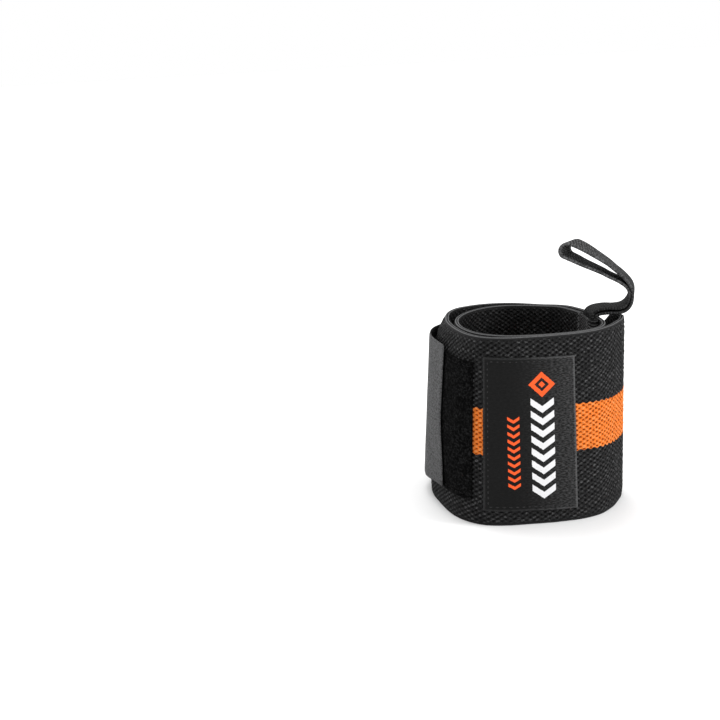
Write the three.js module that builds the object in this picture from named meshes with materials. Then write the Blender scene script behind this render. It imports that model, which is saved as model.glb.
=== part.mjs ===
// A wrist wrap for weight lifting, rolled up as it is stored: an elastic band wound twice around an
// open core. A thumb loop is sewn into the hem at the inner end. A stiff hook tab is sewn to the
// outer end and closes round the roll on a velour patch.
// Millimetres, +Z up. The roll stands on the band's lower edge, with its label towards -Y.
import * as THREE from "three";

// Sizes of the elastic band
const bandWidth = 76;
const bandLength = 428;
const bandThickness = 1.6;
const edgeChamfer = 0.4;
const shoulderLength = 14;
const seamLap = 10;

// Sizes of the roll
const coreReach = 30;
const startAngle = -16;
const layerGap = 0.4;
const looseGap = 8.6;
const footLean = 6;
const rimCurl = 3.4;
const curlDepth = 10;

// Sizes of what is sewn on
const patchLength = 76;
const patchWidth = 56;
const patchThickness = 1;
const labelLength = 34;
const labelWidth = 62;
const labelThickness = 0.5;
const labelFromEnd = 56.5;
const labelPatchGap = 4.5;
const tabLength = 126;
const tabWidth = 62;
const tabThickness = 1;
const tabBow = 1;
const hemLength = 15;
const hemThickness = 0.6;
const tapeWidth = 10.5;
const tapeThickness = 1;
const tapeInset = 2;
const tapeRootDepth = 8;
const tapeFreeRise = 3;
const loopReach = 17.4;
const loopRise = 27;
const loopHeading = 10;
const eyeSpread = 2.7;

// Clear space left between any two pieces that lie on each other
const clearance = 0.3;

// How finely the curved pieces are cut
const bandStep = 3.4;
const trimStep = 3.6;
const tapeStep = 1.7;
const turnSteps = 6;

const colours = {
  knit: new THREE.MeshStandardMaterial({ color: 0x2b2b2c, roughness: 0.92, metalness: 0 }),
  binding: new THREE.MeshStandardMaterial({ color: 0x303031, roughness: 0.9, metalness: 0 }),
  tape: new THREE.MeshStandardMaterial({ color: 0x3a3a3b, roughness: 0.88, metalness: 0 }),
  velour: new THREE.MeshStandardMaterial({ color: 0x1c1c1d, roughness: 1, metalness: 0 }),
  satin: new THREE.MeshStandardMaterial({ color: 0x2e2e30, roughness: 0.7, metalness: 0 }),
  backing: new THREE.MeshStandardMaterial({ color: 0x666667, roughness: 0.8, metalness: 0 }),
};

// The hollow core in plan: its reach from the middle at each angle, as a share of coreReach.
const coreTable = [
  { angle: 0, reach: 0.713 },
  { angle: 25, reach: 0.71 },
  { angle: 43, reach: 0.753 },
  { angle: 57, reach: 0.82 },
  { angle: 76, reach: 0.85 },
  { angle: 92, reach: 0.923 },
  { angle: 106, reach: 1.02 },
  { angle: 120, reach: 1.067 },
  { angle: 137, reach: 1.065 },
  { angle: 160, reach: 1.04 },
  { angle: 180, reach: 1.017 },
  { angle: 201, reach: 1.017 },
  { angle: 220, reach: 1.03 },
  { angle: 238, reach: 0.987 },
  { angle: 254, reach: 0.917 },
  { angle: 268, reach: 0.88 },
  { angle: 282, reach: 0.873 },
  { angle: 300, reach: 0.91 },
  { angle: 312, reach: 0.93 },
  { angle: 322, reach: 0.9 },
  { angle: 335, reach: 0.81 },
  { angle: 349, reach: 0.73 },
];

// How far a turn stands off the turn inside it, as a share of looseGap, by its winding angle.
const slackTable = [
  { angle: 428, slack: 0 },
  { angle: 440, slack: 0.03 },
  { angle: 455, slack: 0.19 },
  { angle: 466, slack: 0.36 },
  { angle: 477, slack: 0.66 },
  { angle: 485, slack: 0.84 },
  { angle: 493, slack: 1 },
  { angle: 503, slack: 0.93 },
  { angle: 513, slack: 0.72 },
  { angle: 524, slack: 0.46 },
  { angle: 536, slack: 0.26 },
  { angle: 548, slack: 0.14 },
  { angle: 562, slack: 0.14 },
  { angle: 575, slack: 0.19 },
  { angle: 588, slack: 0.25 },
  { angle: 601, slack: 0.12 },
  { angle: 614, slack: 0.03 },
  { angle: 626, slack: 0 },
  { angle: 674, slack: 0 },
  { angle: 683, slack: 0.15 },
  { angle: 692, slack: 0.44 },
  { angle: 701, slack: 0.76 },
  { angle: 710, slack: 0.94 },
  { angle: 718, slack: 0.91 },
  { angle: 728, slack: 0.8 },
  { angle: 741, slack: 0.64 },
  { angle: 753, slack: 0.42 },
  { angle: 768, slack: 0.1 },
  { angle: 784, slack: 0 },
];

// How far the foot of the wall stands out past its rim, as a share of footLean.
const leanTable = [
  { angle: 0, foot: -0.2 },
  { angle: 50, foot: -0.25 },
  { angle: 90, foot: -0.1 },
  { angle: 130, foot: 0.6 },
  { angle: 160, foot: 1 },
  { angle: 195, foot: 0.93 },
  { angle: 212, foot: 0.9 },
  { angle: 230, foot: 0.7 },
  { angle: 248, foot: 0.42 },
  { angle: 275, foot: 0.38 },
  { angle: 305, foot: 0.33 },
  { angle: 322, foot: 0.1 },
  { angle: 338, foot: -0.1 },
];

// How far the rim curls in, as a share of rimCurl, by winding angle.
const curlTable = [
  { angle: 60, curl: 0 },
  { angle: 130, curl: 0.25 },
  { angle: 210, curl: 0.25 },
  { angle: 250, curl: 0.06 },
  { angle: 290, curl: 0 },
  { angle: 458, curl: 0 },
  { angle: 480, curl: 0.5 },
  { angle: 500, curl: 0.9 },
  { angle: 515, curl: 0.95 },
  { angle: 530, curl: 0.65 },
  { angle: 545, curl: 0.45 },
  { angle: 560, curl: 0.4 },
  { angle: 577, curl: 0.28 },
  { angle: 592, curl: 0.1 },
  { angle: 606, curl: 0 },
];

// How far the tab bows off the roll, as a share of tabBow, by winding angle.
const bowTable = [
  { angle: 815, bow: 0 },
  { angle: 850, bow: 0.25 },
  { angle: 868, bow: 1 },
  { angle: 882, bow: 0.9 },
  { angle: 908, bow: 0 },
];

// Levels up a wall: height as a share of its width, half as a share of half its thickness.
const wallLevels = [
  { height: 0.25, half: 1 },
  { height: 0.55, half: 1 },
  { height: 0.8, half: 1 },
  { height: 0.88, half: 1 },
  { height: 0.93, half: 1 },
  { height: 0.965, half: 1 },
];
const trimLevels = [
  { height: 0, half: 1 },
  { height: 0.35, half: 1 },
  { height: 0.7, half: 1 },
  { height: 0.9, half: 1 },
  { height: 1, half: 1 },
];

// The middle line of the thumb loop's two strands, from the rim outwards: side as a share of
// loopReach, rise as a share of loopRise, turn of the tape's width in degrees about the vertical,
// and the strands' spread as a share of eyeSpread.
const loopTable = [
  { side: 0.013, rise: 0.037, turn: 0, spread: 0 },
  { side: 0.115, rise: 0.074, turn: 2, spread: 0 },
  { side: 0.34, rise: 0.091, turn: 5, spread: 0 },
  { side: 0.577, rise: 0.085, turn: 8, spread: 0 },
  { side: 0.785, rise: 0.115, turn: 10, spread: 0 },
  { side: 0.927, rise: 0.193, turn: 12, spread: 0 },
  { side: 1, rise: 0.311, turn: 14, spread: 0 },
  { side: 0.973, rise: 0.43, turn: 15, spread: 0 },
  { side: 0.787, rise: 0.541, turn: 17, spread: 0.15 },
  { side: 0.5, rise: 0.667, turn: 19, spread: 0.4 },
  { side: 0.35, rise: 0.737, turn: 23, spread: 0.47 },
  { side: -0.04, rise: 0.885, turn: 32, spread: 0.85 },
  { side: -0.21, rise: 0.948, turn: 37, spread: 0.95 },
  { side: -0.36, rise: 1, turn: 40, spread: 1 },
];

const radians = THREE.MathUtils.degToRad;
const smooth = (value, from, to) => THREE.MathUtils.smoothstep(value, from, to);

// A smooth curve through one column of a table, by its angle. It holds its end values.
function columnCurve(table, column) {
  const slopeAt = (i) => {
    if (i === 0 || i === table.length - 1) return 0;
    return (table[i + 1][column] - table[i - 1][column]) / (table[i + 1].angle - table[i - 1].angle);
  };
  return (angle) => {
    if (angle <= table[0].angle) return table[0][column];
    if (angle >= table.at(-1).angle) return table.at(-1)[column];
    const i = table.findIndex((row) => row.angle > angle) - 1;
    const span = table[i + 1].angle - table[i].angle;
    const u = (angle - table[i].angle) / span;
    const ease = u * u * (3 - 2 * u);
    const lead = u * (1 - u) * (1 - u) * span * slopeAt(i);
    const trail = u * u * (1 - u) * span * slopeAt(i + 1);
    return table[i][column] * (1 - ease) + table[i + 1][column] * ease + lead - trail;
  };
}

// The same for a table that goes once round and closes on itself.
function roundCurve(table, column) {
  const turns = [-360, 0, 360];
  const rows = turns.flatMap((turn) => table.map((row) => ({ ...row, angle: row.angle + turn })));
  const curve = columnCurve(rows, column);
  return (angle) => curve(THREE.MathUtils.euclideanModulo(angle, 360));
}

const coreShare = roundCurve(coreTable, "reach");
const footShare = roundCurve(leanTable, "foot");
const slackShare = columnCurve(slackTable, "slack");
const curlShare = columnCurve(curlTable, "curl");
const bowShare = columnCurve(bowTable, "bow");

function corePoint(angle) {
  const reach = coreReach * coreShare(angle);
  return new THREE.Vector2(reach * Math.cos(radians(angle)), reach * Math.sin(radians(angle)));
}

// The outward direction across a plan curve that runs anticlockwise.
function outwardOf(curve, at, step) {
  const along = curve(at + step).sub(curve(at - step)).normalize();
  return new THREE.Vector2(along.y, -along.x);
}

// The hem holds the band's end or the loop's two strands between its walls, whichever is thicker.
const hemPocket = Math.max(bandThickness, 2 * tapeThickness + clearance) + 2 * clearance;
const hemHalf = hemPocket / 2 + hemThickness / 2;
const hemRoom = hemHalf + hemThickness / 2 - bandThickness / 2;
const hemTurns = { from: startAngle + 325, full: startAngle + 352, hold: 405, clear: 440 };

// How far the band's middle lies outside the core's outline, turn upon turn.
function windingOffset(angle) {
  let offset = bandThickness / 2 + ((bandThickness + layerGap) * (angle - startAngle)) / 360;
  for (let inner = angle; inner > startAngle; inner -= 360) {
    const rising = smooth(inner, hemTurns.from, hemTurns.full);
    const falling = smooth(inner, hemTurns.hold, hemTurns.clear);
    offset += looseGap * slackShare(inner) + hemRoom * (rising - falling);
  }
  return offset;
}

// A path wound round the core at a given offset, measured in millimetres from its first angle.
function woundPath(offsetAt, firstAngle) {
  const pointAt = (angle) => {
    const out = outwardOf(corePoint, angle, 1);
    return corePoint(angle).addScaledVector(out, offsetAt(angle));
  };
  const lastAngle = firstAngle + 1080;
  const marks = [{ angle: firstAngle, length: 0, point: pointAt(firstAngle) }];
  while (marks.at(-1).angle < lastAngle) {
    const before = marks.at(-1);
    const point = pointAt(before.angle + 1);
    marks.push({ angle: before.angle + 1, length: before.length + point.distanceTo(before.point), point });
  }
  const angleAt = (length) => {
    const found = marks.findIndex((mark) => mark.length > length) - 1;
    const i = Math.max(found, 0);
    const share = (length - marks[i].length) / (marks[i + 1].length - marks[i].length);
    return marks[i].angle + share;
  };
  // A point of the wall: so far along, so high, and so far out from the path.
  const wallPoint = (length, height, out) => {
    const angle = angleAt(length);
    const rim = smooth(height, bandWidth - curlDepth, bandWidth + curlDepth);
    const lean = footLean * footShare(angle) * (1 - height / bandWidth);
    const curl = rimCurl * curlShare(angle) * 2 * rim;
    const plan = pointAt(angle)
      .addScaledVector(outwardOf(pointAt, angle, 1), out)
      .addScaledVector(outwardOf(corePoint, angle, 1), lean - curl);
    return new THREE.Vector3(plan.x, plan.y, height);
  };
  return { wallPoint, angleAt };
}

const bandPath = woundPath(windingOffset, startAngle);
const bandEndAngle = bandPath.angleAt(bandLength);
const tabFirstAngle = bandPath.angleAt(bandLength - seamLap);

// The tab starts on the band's end and comes down on to the velour of the turn inside it.
function tabOffset(angle) {
  const onBand = windingOffset(angle) + bandThickness / 2;
  const inside = windingOffset(angle - 360) + bandThickness / 2;
  const onVelour = inside + clearance + patchThickness;
  const settled = smooth(angle, bandEndAngle + 4, bandEndAngle + 60);
  const seat = THREE.MathUtils.lerp(onBand, onVelour, settled);
  return seat + clearance + tabThickness / 2 + tabBow * bowShare(angle);
}

// Even steps from one length to another, no longer than the step asked for.
function evenSteps(from, to, step) {
  const count = Math.ceil(Math.abs(to - from) / step);
  return Array.from({ length: count + 1 }, (_, i) => from + ((to - from) * i) / count);
}

// A closed solid from a row of rings. Each ring runs up one face and down the other.
function solidFromRings(rings) {
  const size = rings[0].length;
  const last = (rings.length - 1) * size;
  const faces = [];
  const addQuad = (a, b, c, d) => faces.push(a, b, c, a, c, d);
  for (let start = 0; start < last; start += size)
    for (let j = 0; j < size; j++) {
      const next = (j + 1) % size;
      addQuad(start + j, start + size + j, start + size + next, start + next);
    }
  for (let j = 0; j < size / 2 - 1; j++) {
    const far = size - 1 - j;
    addQuad(j, j + 1, far - 1, far);
    addQuad(last + far, last + far - 1, last + j + 1, last + j);
  }
  const geometry = new THREE.BufferGeometry();
  const corners = rings.flat().flatMap((point) => point.toArray());
  geometry.setAttribute("position", new THREE.Float32BufferAttribute(corners, 3));
  geometry.setIndex(faces);
  geometry.computeVertexNormals();
  return geometry;
}

// A wall along a path: place(length, level, side) gives the point on its outer (1) or inner (-1) face.
function wallSolid(lengths, levels, place) {
  const rings = lengths.map((length) => {
    const outer = levels.map((level) => place(length, level, level.half));
    const inner = levels.map((level) => place(length, level, -level.half));
    return [...outer, ...inner.reverse()];
  });
  return solidFromRings(rings);
}

function sewnPiece(name, geometry, material) {
  const mesh = new THREE.Mesh(geometry, material);
  mesh.name = name;
  return mesh;
}

// The elastic band: full width along most of its length, cut back at the loop's corner under the
// hem, and narrowed by two shoulders to the tab's width at its outer end.
function elasticBand() {
  const cornerEnd = tapeInset + tapeWidth + clearance;
  const cornerRise = 1;
  const shoulderStart = bandLength - seamLap - shoulderLength;
  const shoulderEnd = bandLength - seamLap;
  const lengths = [
    ...evenSteps(0, cornerEnd, bandStep),
    ...evenSteps(cornerEnd + cornerRise, bandLength, bandStep),
  ];
  const chamferShare = edgeChamfer / bandWidth;
  const edgeHalf = 1 - edgeChamfer / (bandThickness / 2);
  const levels = [
    { height: 0, half: edgeHalf },
    { height: chamferShare, half: 1 },
    ...wallLevels,
    { height: 1 - chamferShare, half: 1 },
    { height: 1, half: edgeHalf },
  ];
  const place = (length, level, side) => {
    const narrowed = smooth(length, shoulderStart, shoulderEnd);
    const width = THREE.MathUtils.lerp(bandWidth, tabWidth, narrowed);
    const top = length > cornerEnd ? width : bandWidth - tapeRootDepth - clearance;
    const height = (bandWidth - width) / 2 + top * level.height;
    return bandPath.wallPoint(length, height, (side * bandThickness) / 2);
  };
  return sewnPiece("elastic_band", wallSolid(lengths, levels, place), colours.knit);
}

// A flat piece laid on the band's outer face, centred up its width.
function facedPiece(name, fromEnd, length, width, thickness, material) {
  const outOf = bandThickness / 2 + clearance + thickness / 2;
  const foot = (bandWidth - width) / 2;
  const start = bandLength - fromEnd - length;
  const lengths = evenSteps(start, start + length, trimStep);
  const place = (at, level, side) =>
    bandPath.wallPoint(at, foot + width * level.height, outOf + (side * thickness) / 2);
  return sewnPiece(name, wallSolid(lengths, trimLevels, place), material);
}

function hookTab() {
  const tabPath = woundPath(tabOffset, tabFirstAngle);
  const foot = (bandWidth - tabWidth) / 2;
  const place = (at, level, side) =>
    tabPath.wallPoint(at, foot + tabWidth * level.height, (side * tabThickness) / 2);
  const geometry = wallSolid(evenSteps(0, tabLength, trimStep), trimLevels, place);
  return sewnPiece("hook_tab", geometry, colours.backing);
}

// The hem binding: a tape folded round the band's inner end, over both of its faces.
function endBinding() {
  const legs = evenSteps(hemLength, 0, trimStep);
  const bends = evenSteps(0, Math.PI, Math.PI / turnSteps).slice(1, -1);
  const fold = [
    ...legs.map((along) => ({ along, out: -hemHalf, normal: [0, -1] })),
    ...bends.map((bend) => ({
      along: -hemHalf * Math.sin(bend),
      out: -hemHalf * Math.cos(bend),
      normal: [-Math.sin(bend), -Math.cos(bend)],
    })),
    ...legs.reverse().map((along) => ({ along, out: hemHalf, normal: [0, 1] })),
  ];
  const place = (stop, level, side) => {
    const shift = (side * hemThickness) / 2;
    const along = stop.along + stop.normal[0] * shift;
    return bandPath.wallPoint(along, bandWidth * level.height, stop.out + stop.normal[1] * shift);
  };
  return sewnPiece("end_binding", wallSolid(fold, trimLevels, place), colours.binding);
}

// The thumb loop: one tape that rises from the hem, leans out over the rim, turns up and back, and
// returns along itself round a long eye.
function thumbLoop() {
  const rootAlong = tapeInset + tapeWidth / 2;
  const root = bandPath.wallPoint(rootAlong, bandWidth, 0);
  const near = bandPath.wallPoint(tapeInset, bandWidth, 0);
  const across = bandPath.wallPoint(tapeInset + tapeWidth, bandWidth, 0).sub(near).normalize();
  const up = new THREE.Vector3(0, 0, 1);
  const outward = new THREE.Vector3(across.y, -across.x, 0).applyAxisAngle(up, -radians(loopHeading));
  const halfPair = (tapeThickness + clearance) / 2;
  const rows = [
    { side: 0, rise: -tapeRootDepth, turn: 0, spread: halfPair },
    { side: 0, rise: 0, turn: 0, spread: halfPair },
    ...loopTable.map((row) => ({
      side: row.side * loopReach,
      rise: row.rise * loopRise,
      turn: row.turn,
      spread: halfPair + row.spread * (eyeSpread - halfPair),
    })),
  ];
  const middle = new THREE.CatmullRomCurve3(
    rows.map((row) => new THREE.Vector3(row.side, 0, row.rise)),
    false,
    "centripetal",
  );
  const strandSteps = Math.round(middle.getLength() / tapeStep);
  // One stop on the middle line, with the row values blended by its place between the rows.
  const stopAt = (share) => {
    const place = middle.getUtoTmapping(share) * (rows.length - 1);
    const i = Math.min(Math.floor(place), rows.length - 2);
    const blend = smooth(place - i, 0, 1);
    const point = middle.getPointAt(share);
    const tangent = middle.getTangentAt(share);
    return {
      point,
      normal: new THREE.Vector3(tangent.z, 0, -tangent.x),
      turn: THREE.MathUtils.lerp(rows[i].turn, rows[i + 1].turn, blend),
      spread: THREE.MathUtils.lerp(rows[i].spread, rows[i + 1].spread, blend),
    };
  };
  const shares = evenSteps(0, 1, 1 / strandSteps);
  const tip = stopAt(1);
  const forward = new THREE.Vector3(-tip.normal.z, 0, tip.normal.x);
  const bends = evenSteps(0, Math.PI, Math.PI / (turnSteps + 2)).slice(1, -1);
  const line = [
    ...shares.map((share) => {
      const stop = stopAt(share);
      return { turn: stop.turn, point: stop.point.clone().addScaledVector(stop.normal, stop.spread) };
    }),
    ...bends.map((bend) => ({
      turn: tip.turn,
      point: tip.point
        .clone()
        .addScaledVector(tip.normal, tip.spread * Math.cos(bend))
        .addScaledVector(forward, tip.spread * Math.sin(bend)),
    })),
    ...shares.reverse().map((share) => {
      const stop = stopAt(share);
      return { turn: stop.turn, point: stop.point.clone().addScaledVector(stop.normal, -stop.spread) };
    }),
  ];
  // From the loop's own plane to the roll: side runs outward, rise runs up, and the tape's width
  // runs along the wall, turned about the vertical. Its root follows the wall's own curve.
  const rings = line.map((stop, i) => {
    const before = line[Math.max(i - 1, 0)].point;
    const after = line[Math.min(i + 1, line.length - 1)].point;
    const along = after.clone().sub(before).normalize();
    const face = new THREE.Vector3(along.z, 0, -along.x);
    const width = across.clone().applyAxisAngle(up, -radians(stop.turn));
    const corner = (place, side) => {
      const flat = stop.point.clone().addScaledVector(face, (side * tapeThickness) / 2);
      const inHem = bandPath.wallPoint(rootAlong + place, bandWidth + flat.z, flat.x);
      const free = root
        .clone()
        .addScaledVector(outward, flat.x)
        .addScaledVector(up, flat.z)
        .addScaledVector(width, place);
      return inHem.lerp(free, smooth(stop.point.z, 0, tapeFreeRise));
    };
    const places = evenSteps(tapeWidth / 2, -tapeWidth / 2, tapeWidth / 4);
    const outer = places.map((place) => corner(place, 1));
    const inner = places.map((place) => corner(place, -1));
    return [...outer, ...inner.reverse()];
  });
  return sewnPiece("thumb_loop", solidFromRings(rings), colours.tape);
}

const patchFromEnd = labelFromEnd + labelLength + labelPatchGap;
const roll = new THREE.Group();
roll.add(
  elasticBand(),
  endBinding(),
  thumbLoop(),
  facedPiece("loop_patch", patchFromEnd, patchLength, patchWidth, patchThickness, colours.velour),
  facedPiece("label_patch", labelFromEnd, labelLength, labelWidth, labelThickness, colours.satin),
  hookTab(),
);

// The origin is at the middle of the roll's outline, on the surface that it stands on.
const wrap = new THREE.Group();
const outline = new THREE.Box3().setFromObject(roll);
const middlePoint = outline.getCenter(new THREE.Vector3());
roll.position.set(-middlePoint.x, -middlePoint.y, -outline.min.z);
wrap.add(roll);

export default wrap;
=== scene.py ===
import bpy
import numpy as np
from mathutils import Matrix, Vector


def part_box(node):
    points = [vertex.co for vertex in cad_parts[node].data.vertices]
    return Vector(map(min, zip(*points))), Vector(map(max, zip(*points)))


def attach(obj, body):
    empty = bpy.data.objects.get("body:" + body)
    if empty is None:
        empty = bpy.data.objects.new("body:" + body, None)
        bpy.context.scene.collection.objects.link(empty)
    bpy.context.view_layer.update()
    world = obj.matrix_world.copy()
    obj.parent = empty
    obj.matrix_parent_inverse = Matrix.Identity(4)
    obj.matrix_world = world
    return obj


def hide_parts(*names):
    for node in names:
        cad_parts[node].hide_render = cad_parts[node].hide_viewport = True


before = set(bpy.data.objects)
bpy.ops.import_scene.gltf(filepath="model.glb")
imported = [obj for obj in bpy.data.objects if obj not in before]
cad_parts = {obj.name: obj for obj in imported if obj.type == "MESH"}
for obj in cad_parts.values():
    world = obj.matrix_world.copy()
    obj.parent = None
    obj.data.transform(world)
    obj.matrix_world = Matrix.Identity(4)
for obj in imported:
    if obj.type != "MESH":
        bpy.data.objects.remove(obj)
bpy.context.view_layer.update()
metre = 0.001  # one millimetre in scene units
print("frame loaded")


# The roll's path: the same sizes and tables as the construction.

rollSizes = {
    "bandWidth": 76, "bandLength": 428, "bandThickness": 1.6, "startAngle": -16,
    "coreReach": 30,  # from the core's middle to the first layer, before its shares
    "layerGap": 0.4, "looseGap": 8.6,  # between tight layers, and the most at loose ones
    "footLean": 6, "rimCurl": 3.4, "curlDepth": 10,  # out at the foot, in at the rim
    "clearance": 0.3, "edgeChamfer": 0.4, "hemThickness": 0.6, "tapeThickness": 1,
    "tabThickness": 1, "tabWidth": 62, "tabBow": 1, "seamLap": 10, "patchThickness": 1,
    "labelFromEnd": 56.5, "labelLength": 34, "labelPatchGap": 4.5, "patchLength": 76,
    "tabLeaves": 4, "tabLands": 60,  # degrees past the band's end
}
hemTurns = {"from": 325, "full": 352, "hold": 421, "clear": 456}  # degrees from startAngle
coreRows = [
    (0, 0.713), (25, 0.71), (43, 0.753), (57, 0.82), (76, 0.85), (92, 0.923), (106, 1.02),
    (120, 1.067), (137, 1.065), (160, 1.04), (180, 1.017), (201, 1.017), (220, 1.03),
    (238, 0.987), (254, 0.917), (268, 0.88), (282, 0.873), (300, 0.91), (312, 0.93),
    (322, 0.9), (335, 0.81), (349, 0.73),
]  # angle, reach as a share of coreReach
slackRows = [
    (428, 0), (440, 0.03), (455, 0.19), (466, 0.36), (477, 0.66), (485, 0.84), (493, 1),
    (503, 0.93), (513, 0.72), (524, 0.46), (536, 0.26), (548, 0.14), (562, 0.14),
    (575, 0.19), (588, 0.25), (601, 0.12), (614, 0.03), (626, 0), (674, 0), (683, 0.15),
    (692, 0.44), (701, 0.76), (710, 0.94), (718, 0.91), (728, 0.8), (741, 0.64),
    (753, 0.42), (768, 0.1), (784, 0),
]  # winding angle, share of looseGap
leanRows = [
    (0, -0.2), (50, -0.25), (90, -0.1), (130, 0.6), (160, 1), (195, 0.93), (212, 0.9),
    (230, 0.7), (248, 0.42), (275, 0.38), (305, 0.33), (322, 0.1), (338, -0.1),
]  # angle, share of footLean
curlRows = [
    (60, 0), (130, 0.25), (210, 0.25), (250, 0.06), (290, 0), (458, 0), (480, 0.5),
    (500, 0.9), (515, 0.95), (530, 0.65), (545, 0.45), (560, 0.4), (577, 0.28),
    (592, 0.1), (606, 0),
]  # winding angle, share of rimCurl
bowRows = [(815, 0), (850, 0.25), (868, 1), (882, 0.9), (908, 0)]  # winding angle, share of tabBow


def smoothstep(value, low, high):
    u = np.clip((np.asarray(value, float) - low) / (high - low), 0, 1)
    return u * u * (3 - 2 * u)


def mix(a, b, share):
    return a + (b - a) * share


# A smooth curve through rows of (place, value). It holds its ends, or goes round a period.
def curveThrough(rows, period=None):
    table = np.array(rows, float)
    if period:
        table = np.vstack([table + (turn * period, 0) for turn in (-1, 0, 1)])
    places, values = table.T
    slopes = np.zeros(len(places))
    slopes[1:-1] = (values[2:] - values[:-2]) / (places[2:] - places[:-2])

    def curve(place):
        at = np.mod(place, period) if period else np.clip(place, places[0], places[-1])
        i = np.clip(np.searchsorted(places, at, side="right") - 1, 0, len(places) - 2)
        span = places[i + 1] - places[i]
        u = (at - places[i]) / span
        lead = u * (1 - u) ** 2 * span * slopes[i]
        trail = u * u * (1 - u) * span * slopes[i + 1]
        return mix(values[i], values[i + 1], u * u * (3 - 2 * u)) + lead - trail

    return curve


coreShare = curveThrough(coreRows, 360)
footShare = curveThrough(leanRows, 360)
slackShare = curveThrough(slackRows)
curlShare = curveThrough(curlRows)
bowShare = curveThrough(bowRows)


def corePoint(angle):
    turned = np.radians(angle)
    reach = rollSizes["coreReach"] * coreShare(angle)
    return np.stack([reach * np.cos(turned), reach * np.sin(turned)], -1)


def outwardOf(curve, at):
    along = curve(at + 1) - curve(at - 1)
    along = along / np.linalg.norm(along, axis=-1, keepdims=True)
    return np.stack([along[..., 1], -along[..., 0]], -1)


halfBand = rollSizes["bandThickness"] / 2
pairThickness = 2 * rollSizes["tapeThickness"] + rollSizes["clearance"]
hemPocket = max(rollSizes["bandThickness"], pairThickness) + 2 * rollSizes["clearance"]
hemHalf = hemPocket / 2 + rollSizes["hemThickness"] / 2
hemRoom = hemHalf + rollSizes["hemThickness"] / 2 - halfBand


# A layer stands off by its turns, and by the slack and the hem's room of each layer inside it.
def windingOffset(angle):
    start = rollSizes["startAngle"]
    pitch = rollSizes["bandThickness"] + rollSizes["layerGap"]
    offset = halfBand + pitch * (angle - start) / 360
    for turn in range(4):
        inner = angle - 360 * turn
        past = inner - start
        room = smoothstep(past, hemTurns["from"], hemTurns["full"])
        room = room - smoothstep(past, hemTurns["hold"], hemTurns["clear"])
        loose = rollSizes["looseGap"] * slackShare(inner) + hemRoom * room
        offset = offset + np.where(inner > start, loose, 0)
    return offset


# A path wound round the core, measured in millimetres from its first angle.
class WoundPath:
    def __init__(self, offsetAt, firstAngle):
        self.offsetAt = offsetAt
        self.angles = firstAngle + np.arange(3 * 360 + 1.0)  # three turns are enough
        steps = np.linalg.norm(np.diff(self.plan(self.angles), axis=0), axis=1)
        self.lengths = np.concatenate([[0], np.cumsum(steps)])

    def plan(self, angle):
        offset = np.asarray(self.offsetAt(angle))[..., None]
        return corePoint(angle) + outwardOf(corePoint, angle) * offset

    def angleAt(self, length):
        inside = np.interp(length, self.lengths, self.angles)
        before = np.minimum(length, 0) / self.lengths[1]  # past the first end, straight on
        return inside + before

    def lengthAt(self, angle):
        return np.interp(angle, self.angles, self.lengths)

    # Points at a length along the path, a height and a distance out from it.
    def wall(self, lengths, heights, outs):
        angle = self.angleAt(np.asarray(lengths, float))
        heights, outs = np.asarray(heights, float), np.asarray(outs, float)
        width, depth = rollSizes["bandWidth"], rollSizes["curlDepth"]
        rim = 2 * smoothstep(heights, width - depth, width + depth)
        lean = rollSizes["footLean"] * footShare(angle) * (1 - heights / width)
        lean = lean - rollSizes["rimCurl"] * curlShare(angle) * rim
        flat = self.plan(angle) + outwardOf(self.plan, angle) * outs[..., None]
        flat = flat + outwardOf(corePoint, angle) * lean[..., None]
        return np.concatenate([flat, np.broadcast_to(heights, flat.shape[:-1])[..., None]], -1)


bandPath = WoundPath(windingOffset, rollSizes["startAngle"])
bandEndAngle = float(bandPath.angleAt(rollSizes["bandLength"]))
tabFirstAngle = float(bandPath.angleAt(rollSizes["bandLength"] - rollSizes["seamLap"]))


def tabOffset(angle):
    gap, patch = rollSizes["clearance"], rollSizes["patchThickness"]
    onBand = windingOffset(angle) + halfBand
    onVelour = windingOffset(angle - 360) + halfBand + gap + patch
    settled = smoothstep(angle - bandEndAngle, rollSizes["tabLeaves"], rollSizes["tabLands"])
    bow = rollSizes["tabBow"] * bowShare(angle)
    return mix(onBand, onVelour, settled) + gap + rollSizes["tabThickness"] / 2 + bow


tabPath = WoundPath(tabOffset, tabFirstAngle)

# The path's own middle is set on the frame by the band's lowest corner.
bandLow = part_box("elastic_band")[0]
trackLengths = np.linspace(0, rollSizes["bandLength"], 400)[:, None]
trackHeights = rollSizes["bandWidth"] * np.array([[0, 0.5, 1]])
trackHeights = trackHeights + rollSizes["edgeChamfer"] * np.array([[1, 0, -1]])
bandTrack = bandPath.wall(trackLengths, trackHeights, np.array([[halfBand]]))
rollMiddle = np.array([bandLow.x, bandLow.y, 0]) / metre - np.append(bandTrack.min((0, 1))[:2], 0)
print("paths wound, middle of the roll at", rollMiddle.round(2))


# Meshes

# Makes a piece from millimetre points, faces and one vector of cloth place for each point.
def addPiece(name, points, faces, place, material, replaces):
    mesh = bpy.data.meshes.new(name)
    world = (np.reshape(points, (-1, 3)) + rollMiddle) * metre
    mesh.from_pydata(world.tolist(), [], faces)
    mesh.polygons.foreach_set("use_smooth", np.ones(len(mesh.polygons), bool))
    layer = mesh.attributes.new("clothPlace", "FLOAT_VECTOR", "POINT")
    layer.data.foreach_set("vector", np.asarray(place, np.float32).ravel())
    mesh.materials.append(material)
    mesh.update()
    piece = bpy.data.objects.new(name, mesh)
    bpy.context.scene.collection.objects.link(piece)
    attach(piece, "root")
    if replaces:
        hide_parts(replaces)
    print("made", name, len(faces), "faces")
    return piece


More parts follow.
